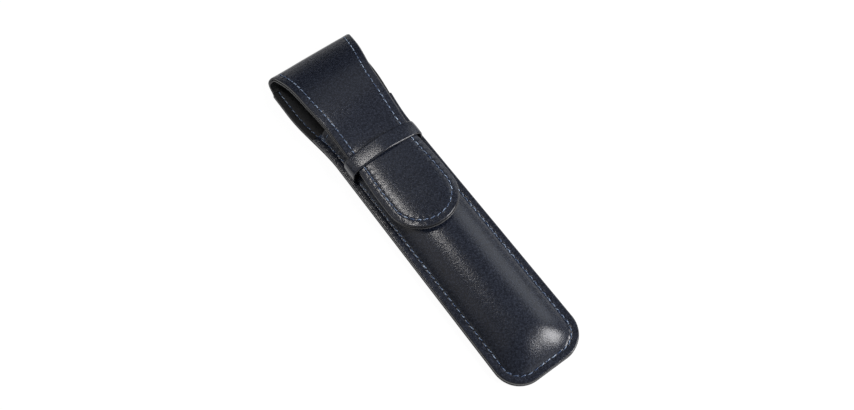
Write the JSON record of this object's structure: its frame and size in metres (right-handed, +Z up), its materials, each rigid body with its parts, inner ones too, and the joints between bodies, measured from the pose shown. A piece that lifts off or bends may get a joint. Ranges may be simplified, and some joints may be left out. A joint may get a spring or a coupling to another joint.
{
  "type": "single pen sleeve",
  "caption": "Dark navy leather sleeve for one pen, with a moulded pocket and a long rounded flap that folds over the top and tucks under a leather strap.",
  "frame": {"origin": "on the table, under the middle of the sleeve as it lies on its back", "axes": "+X across the sleeve, +Y along it towards the folded top, +Z up from the table through the front"},
  "size_m": [0.0424, 0.165, 0.0162],
  "materials": {
    "hide": "semi-gloss, fine smooth grain",
    "lining": "matt",
    "thread": "waxed thread"
  },
  "bodies": {
    "sleeve": {"back_leather": "hide", "back_lining": "lining", "front_leather": "hide", "front_lining": "lining", "keeper_strap": "hide", "body_seam_front": "thread", "body_seam_back": "thread", "extension_seam": "thread", "mouth_seam": "thread", "mouth_tack_left": "thread", "mouth_tack_right": "thread"},
    "flap": {"flap_leather": "hide", "flap_lining": "lining", "flap_seam_outer": "thread", "flap_seam_inner": "thread"}
  },
  "joints": [
    {"name": "flap_open", "type": "hinge", "parent": "sleeve", "child": "flap", "pos_m": [0, 0.078, 0.0045], "axis": [-1, 0, 0], "range_deg": [0, 110], "deforming": ["flap_leather", "flap_lining", "flap_seam_outer", "flap_seam_inner"]}
  ]
}
